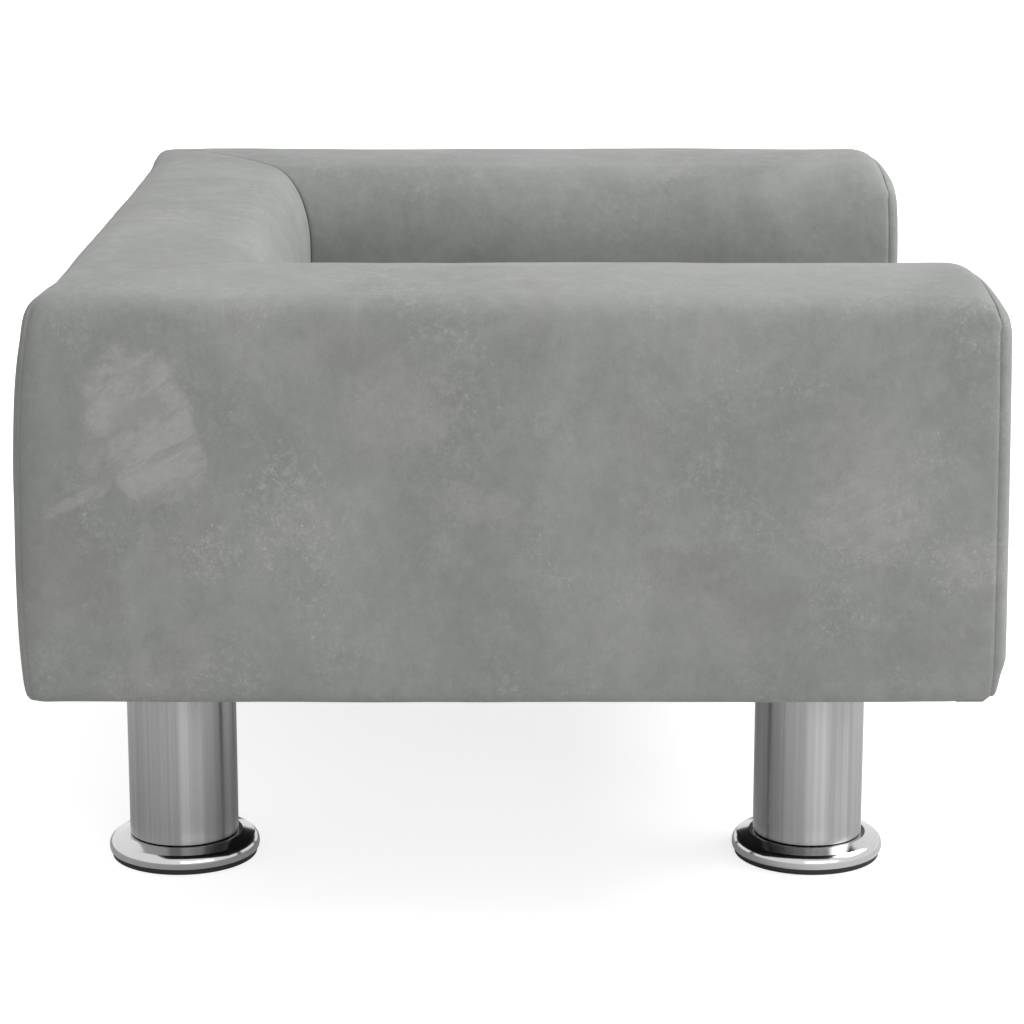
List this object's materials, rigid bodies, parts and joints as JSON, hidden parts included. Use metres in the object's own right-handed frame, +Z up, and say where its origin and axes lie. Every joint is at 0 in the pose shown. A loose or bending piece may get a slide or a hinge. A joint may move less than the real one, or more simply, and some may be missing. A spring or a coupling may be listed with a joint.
{
  "type": "dog bed",
  "caption": "Small sofa-shaped pet bed with padded arms and back, a loose seat cushion and chrome tube legs on levelling feet.",
  "frame": {"origin": "on the floor, under the middle of the outline", "axes": "+X along the back from the left arm to the right arm as seen from the open front, -Y to the open front, +Z up"},
  "size_m": [0.5, 0.4, 0.265],
  "materials": {
    "velvet": "light grey crushed velvet with soft nap",
    "foam": "open-cell upholstery foam",
    "dust_cloth": "thin black non-woven cloth",
    "zip_tape": "woven tape with a nylon coil",
    "zip_metal": "die-cast slider",
    "plywood": "raw plywood",
    "pine": "raw sawn pine",
    "zinc_steel": "zinc-plated steel",
    "chrome": "bright chrome plate",
    "plug_plastic": "moulded black plastic",
    "rubber": "matt black rubber"
  },
  "bodies": {
    "frame": {"apron_cover": "velvet", "apron_padding": "foam", "back_cover": "velvet", "back_inner_board": "plywood", "back_outer_board": "plywood", "back_padding": "foam", "back_top_board": "plywood", "deck_screws": "zinc_steel", "dust_cover": "dust_cloth", "dust_cover_staples": "zinc_steel", "front_left_leg_block": "pine", "front_left_leg_bottom_plug": "plug_plastic", "front_left_leg_top_plug": "plug_plastic", "front_left_leg_tube": "chrome", "front_rail": "pine", "front_right_leg_block": "pine", "front_right_leg_bottom_plug": "plug_plastic", "front_right_leg_top_plug": "plug_plastic", "front_right_leg_tube": "chrome", "left_arm_cover": "velvet", "left_arm_front_board": "plywood", "left_arm_front_strip": "velvet", "left_arm_inner_board": "plywood", "left_arm_outer_board": "plywood", "left_arm_padding": "foam", "left_arm_top_board": "plywood", "left_rail": "pine", "rear_left_leg_block": "pine", "rear_left_leg_bottom_plug": "plug_plastic", "rear_left_leg_top_plug": "plug_plastic", "rear_left_leg_tube": "chrome", "rear_rail": "pine", "rear_right_leg_block": "pine", "rear_right_leg_bottom_plug": "plug_plastic", "rear_right_leg_top_plug": "plug_plastic", "rear_right_leg_tube": "chrome", "right_arm_cover": "velvet", "right_arm_front_board": "plywood", "right_arm_front_strip": "velvet", "right_arm_inner_board": "plywood", "right_arm_outer_board": "plywood", "right_arm_padding": "foam", "right_arm_top_board": "plywood", "right_rail": "pine", "seat_deck": "plywood", "tee_nuts": "zinc_steel"},
    "seat_cushion": {"cushion_cover": "velvet", "cushion_core": "foam", "cushion_zip": "zip_tape"},
    "zip_slider": {"zip_slider": "zip_metal"},
    "front_left_foot_pad": {"front_left_foot_pad": "rubber"},
    "front_left_foot_flange": {"front_left_foot_flange": "chrome"},
    "front_right_foot_pad": {"front_right_foot_pad": "rubber"},
    "front_right_foot_flange": {"front_right_foot_flange": "chrome"},
    "rear_left_foot_pad": {"rear_left_foot_pad": "rubber"},
    "rear_left_foot_flange": {"rear_left_foot_flange": "chrome"},
    "rear_right_foot_pad": {"rear_right_foot_pad": "rubber"},
    "rear_right_foot_flange": {"rear_right_foot_flange": "chrome"}
  },
  "joints": [
    {"name": "cushion_lift", "type": "slide", "parent": "frame", "child": "seat_cushion", "axis": [0, 0, 1], "range_m": [0, 0.15]},
    {"name": "zip_slide", "type": "slide", "parent": "seat_cushion", "child": "zip_slider", "axis": [1, 0, 0], "range_m": [0, 0.134]},
    {"name": "front_left_foot_level", "type": "slide", "parent": "frame", "child": "front_left_foot_pad", "axis": [0, 0, -1], "range_m": [0, 0.006]},
    {"name": "front_left_foot_turn", "type": "hinge", "parent": "front_left_foot_pad", "child": "front_left_foot_flange", "pos_m": [-0.134, -0.1285, 0.006], "axis": [0, 0, -1], "range_deg": [0, 1440]},
    {"name": "front_right_foot_level", "type": "slide", "parent": "frame", "child": "front_right_foot_pad", "axis": [0, 0, -1], "range_m": [0, 0.006]},
    {"name": "front_right_foot_turn", "type": "hinge", "parent": "front_right_foot_pad", "child": "front_right_foot_flange", "pos_m": [0.134, -0.1285, 0.006], "axis": [0, 0, -1], "range_deg": [0, 1440]},
    {"name": "rear_left_foot_level", "type": "slide", "parent": "frame", "child": "rear_left_foot_pad", "axis": [0, 0, -1], "range_m": [0, 0.006]},
    {"name": "rear_left_foot_turn", "type": "hinge", "parent": "rear_left_foot_pad", "child": "rear_left_foot_flange", "pos_m": [-0.134, 0.1463, 0.006], "axis": [0, 0, -1], "range_deg": [0, 1440]},
    {"name": "rear_right_foot_level", "type": "slide", "parent": "frame", "child": "rear_right_foot_pad", "axis": [0, 0, -1], "range_m": [0, 0.006]},
    {"name": "rear_right_foot_turn", "type": "hinge", "parent": "rear_right_foot_pad", "child": "rear_right_foot_flange", "pos_m": [0.134, 0.1463, 0.006], "axis": [0, 0, -1], "range_deg": [0, 1440]}
  ],
  "couplings": [
    {"joint": "front_left_foot_level", "follows": "front_left_foot_turn", "m_per_rad": 0.00023873},
    {"joint": "front_right_foot_level", "follows": "front_right_foot_turn", "m_per_rad": 0.00023873},
    {"joint": "rear_left_foot_level", "follows": "rear_left_foot_turn", "m_per_rad": 0.00023873},
    {"joint": "rear_right_foot_level", "follows": "rear_right_foot_turn", "m_per_rad": 0.00023873}
  ]
}
